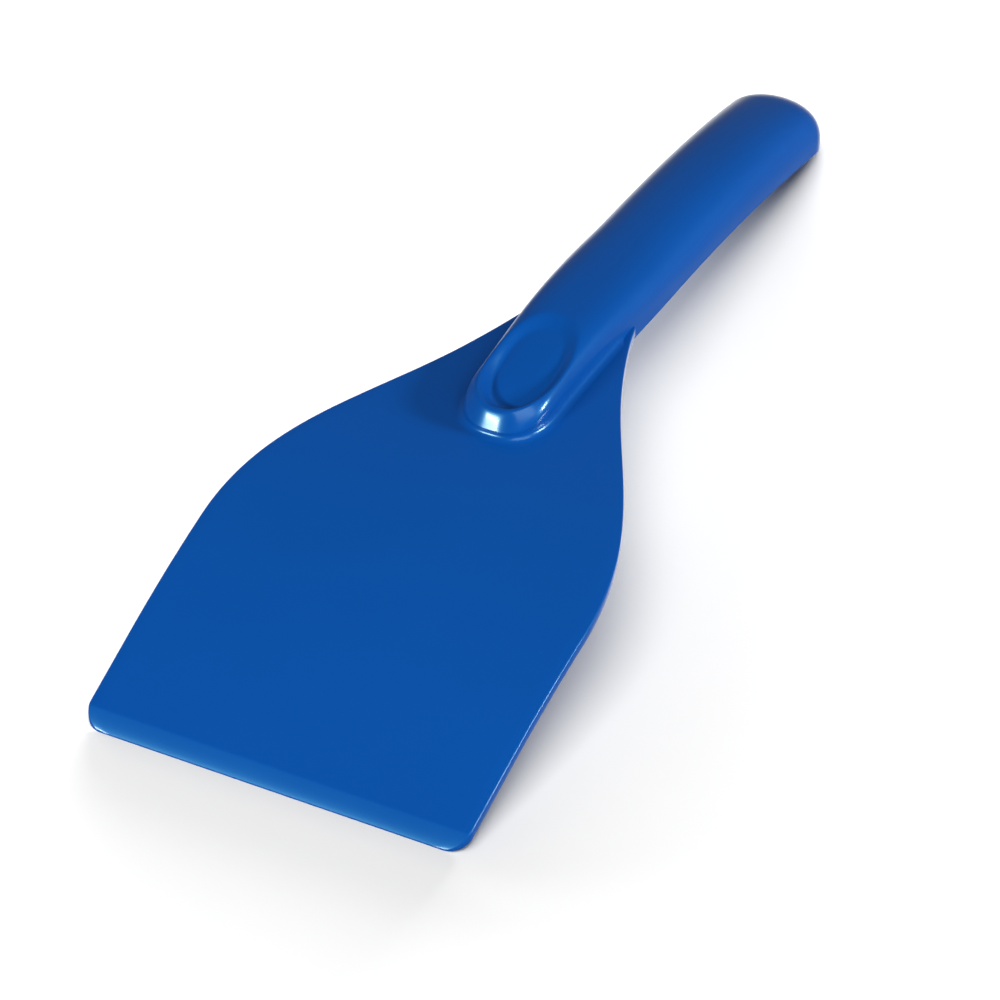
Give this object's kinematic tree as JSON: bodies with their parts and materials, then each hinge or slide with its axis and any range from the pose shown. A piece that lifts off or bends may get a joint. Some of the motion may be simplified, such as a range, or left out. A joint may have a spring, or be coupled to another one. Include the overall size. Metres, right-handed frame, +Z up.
{
  "type": "windshield ice scraper",
  "caption": "Hand-held ice scraper: wide arched blade with a bevelled edge and a slim rounded handle with a thumb rest.",
  "frame": {"origin": "bottom centre of the bounding box: under the middle of the scraper's length, on the surface it stands on", "axes": "+Y along the scraper from the scraping edge to the end of the handle, +Z up, X across the blade"},
  "size_m": [0.0986, 0.2824, 0.0317],
  "materials": {
    "blade_plastic": "satin moulded blue plastic",
    "handle_plastic": "satin moulded blue plastic",
    "cover_plastic": "fine-grained moulded blue plastic"
  },
  "bodies": {
    "root": {"scraper_blade": "blade_plastic", "handle_shell": "handle_plastic", "handle_underside_cover": "cover_plastic"}
  },
  "joints": []
}
